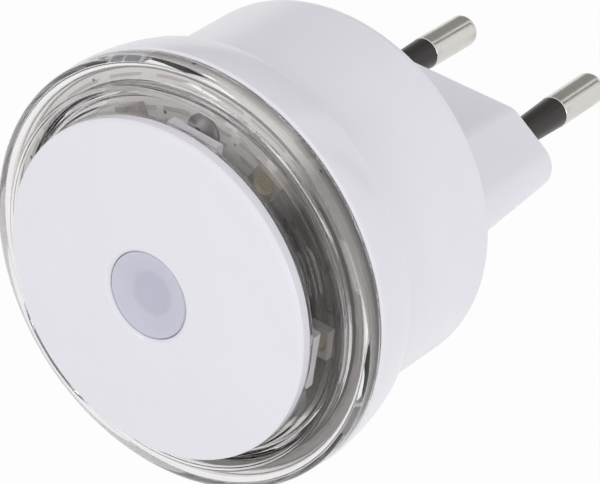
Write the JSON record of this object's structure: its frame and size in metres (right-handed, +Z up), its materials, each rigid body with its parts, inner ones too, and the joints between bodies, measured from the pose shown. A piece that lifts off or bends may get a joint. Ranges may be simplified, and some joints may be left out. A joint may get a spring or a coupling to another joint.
{
  "type": "plug-in night light",
  "caption": "Round plug-in night light: white disc with a frosted dusk-sensor window, smoky clear light ring, white drum housing and flat two-pin plug body with insulated round pins",
  "frame": {"origin": "midway between the two pins on the engagement face of the plug body, where the lamp meets the socket", "axes": "+Y points along the pins into the socket, +Z is up, +X runs from the left pin to the right pin when the lamp is seen from its front"},
  "size_m": [0.0516, 0.0749, 0.0516],
  "materials": {
    "white_gloss": "glossy white moulded plastic with a faint cool tint",
    "white_satin": "satin white moulded plastic",
    "frosted_window": "frosted translucent window, slightly blue-grey",
    "smoky_clear": "polished smoky clear plastic",
    "pin_metal": "nickel-plated brass, polished",
    "sleeve_black": "satin black insulating sleeve",
    "dark_plastic": "dark moulded plastic",
    "screw_steel": "zinc-plated steel screws",
    "wire_brown": "brown wire insulation",
    "wire_blue": "blue wire insulation",
    "board_dark": "dark brown coated circuit board with tinned pads",
    "lamp_yellow": "white lamp body with a yellow window",
    "sensor_tan": "tan ceramic body",
    "capacitor_ochre": "moulded box capacitor in ochre",
    "can_blue": "dark blue shrink sleeve on an aluminium can",
    "resistor_blue": "blue lacquered resistor body",
    "diode_red": "small orange glass diode body"
  },
  "bodies": {
    "root": {"front_disc": "white_gloss", "sensor_window": "frosted_window", "sensor_hood": "dark_plastic", "light_ring": "smoky_clear", "bezel_ring": "white_gloss", "rear_housing": "white_satin", "pin_left": "pin_metal", "pin_right": "pin_metal", "sleeve_left": "sleeve_black", "sleeve_right": "sleeve_black", "pin_clamp": "white_satin", "clamp_screws": "screw_steel", "wire_left": "wire_brown", "wire_right": "wire_blue", "circuit_board": "board_dark", "board_screws": "screw_steel", "led_lamps": "lamp_yellow", "light_sensor": "sensor_tan", "film_capacitor": "capacitor_ochre", "filter_capacitor": "can_blue", "bridge_rectifier": "dark_plastic", "fuse_resistor": "resistor_blue", "bleed_resistor": "sensor_tan", "zener_diode": "diode_red", "switch_transistor": "dark_plastic"}
  },
  "joints": []
}
